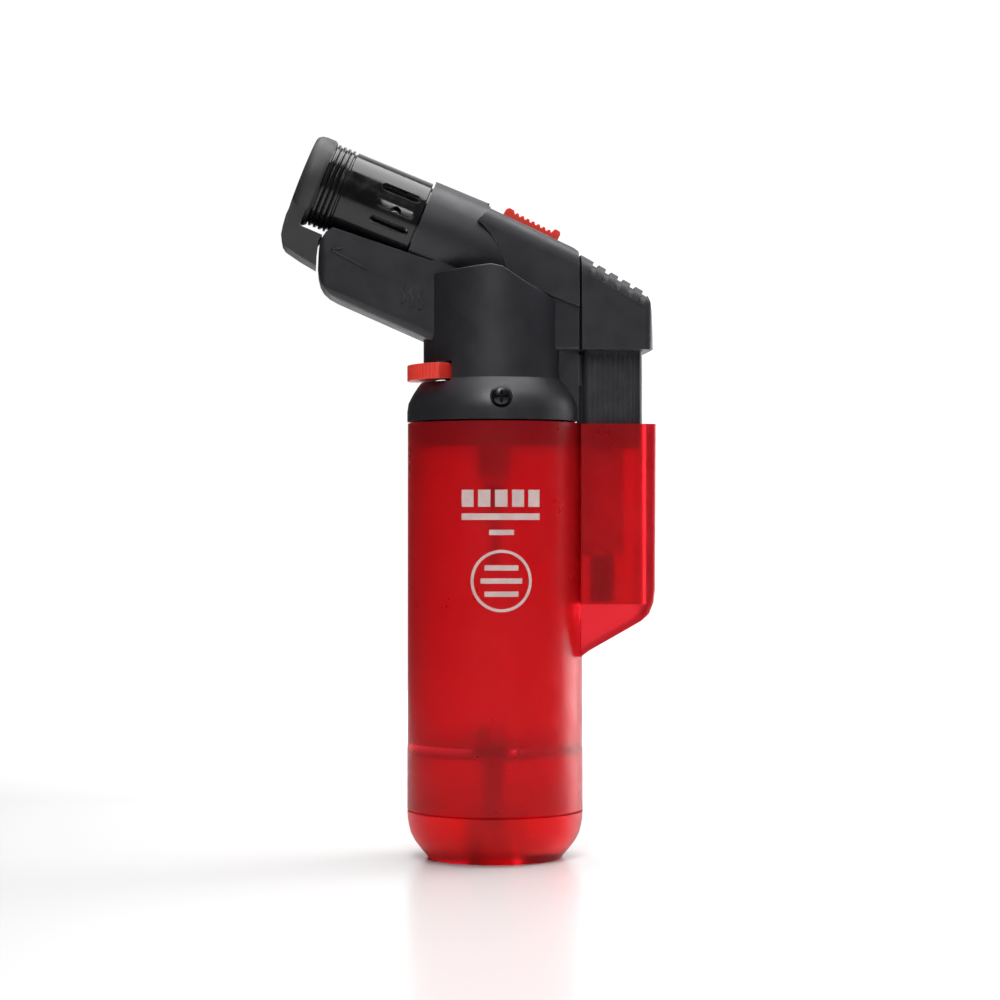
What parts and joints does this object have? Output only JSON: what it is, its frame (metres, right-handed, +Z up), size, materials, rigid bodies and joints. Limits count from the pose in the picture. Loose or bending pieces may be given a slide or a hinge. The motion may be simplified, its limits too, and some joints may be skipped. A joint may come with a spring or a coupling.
{
  "type": "butane torch",
  "caption": "Pocket butane torch: translucent tank with a side pocket, black angled nozzle head with guard, push-down trigger, sliding lock and swinging flame lever.",
  "frame": {"origin": "the middle of the bounding box, on the plane of the base's flat ring", "axes": "+Z up from the base along the tank, -X towards the nozzle, +X towards the trigger, Y across"},
  "size_m": [0.0584, 0.0276, 0.113],
  "materials": {
    "tank_red": "frosted translucent red moulded plastic",
    "base_red": "frosted translucent red moulded plastic",
    "housing_black": "satin black plastic with a fine texture",
    "trigger_black": "satin black plastic with a fine texture",
    "nozzle_black": "gloss black nozzle sleeve",
    "guard_black": "matte black heat-resistant guard",
    "slider_coral": "opaque coral red plastic",
    "adjuster_coral": "opaque coral red plastic",
    "screw_black": "blackened steel",
    "steel": "bright steel",
    "brass": "turned brass",
    "rubber": "black rubber",
    "insulator": "cream ceramic",
    "hose": "clear plastic hose",
    "plug": "dark red plastic",
    "piezo_black": "black plastic igniter plunger",
    "igniter_case": "off-white plastic igniter case"
  },
  "bodies": {
    "torch": {"fuel_tank": "tank_red", "base_cap": "base_red", "head_housing": "housing_black", "nozzle_tube": "nozzle_black", "nozzle_guard": "guard_black", "collar_screw_left": "screw_black", "collar_screw_right": "screw_black", "refill_spring": "steel", "gas_valve_spring": "steel", "piezo_spring": "steel", "burner_tube": "steel", "nozzle_retaining_ring": "steel", "ignition_electrode": "steel", "lever_pin": "steel", "refill_valve_body": "brass", "gas_valve_body": "brass", "gas_jet": "brass", "capillary_ferrule": "brass", "refill_valve_gasket": "rubber", "top_plug_oring": "rubber", "ignition_wire": "rubber", "gas_filter": "insulator", "flame_holder": "insulator", "gas_hose": "hose", "capillary_tube": "hose", "tank_top_plug": "plug", "piezo_plunger": "piezo_black"},
    "trigger": {"trigger_button": "trigger_black", "piezo_case": "igniter_case", "piezo_crystal": "insulator", "piezo_hammer": "steel"},
    "release_lever": {"release_lever": "steel"},
    "gas_stem": {"gas_valve_stem": "brass"},
    "adjuster": {"flame_adjuster": "adjuster_coral"},
    "slider": {"lock_slider": "slider_coral", "lock_clip": "steel"},
    "refill_stem": {"refill_valve_stem": "brass"}
  },
  "joints": [
    {"name": "trigger_press", "type": "slide", "parent": "torch", "child": "trigger", "axis": [0, 0, -1], "range_m": [0, 0.0055], "stiffness_N_per_m": 900, "springref_m": -0.003, "deforming": ["piezo_spring"]},
    {"name": "lever_pivot", "type": "hinge", "parent": "torch", "child": "release_lever", "pos_m": [0.00943, 0, 0.08], "axis": [0, 1, 0], "range_deg": [0, 8]},
    {"name": "gas_stem_lift", "type": "slide", "parent": "torch", "child": "gas_stem", "axis": [0, 0, 1], "range_m": [0, 0.0007], "deforming": ["gas_valve_spring"]},
    {"name": "flame_adjust", "type": "hinge", "parent": "torch", "child": "adjuster", "pos_m": [0.00443, 0, 0.0759], "axis": [0, 0, 1], "range_deg": [-29, 2]},
    {"name": "lock_slide", "type": "slide", "parent": "torch", "child": "slider", "axis": [-0.8915, 0, 0.453], "range_m": [0, 0.0025]},
    {"name": "refill_press", "type": "slide", "parent": "torch", "child": "refill_stem", "axis": [0, 0, 1], "range_m": [0, 0.0015], "stiffness_N_per_m": 800, "springref_m": -0.001, "deforming": ["refill_spring"]}
  ],
  "couplings": [
    {"joint": "lever_pivot", "follows": "trigger_press", "rad_per_m": 25.3},
    {"joint": "gas_stem_lift", "follows": "trigger_press", "ratio": 0.1272}
  ]
}
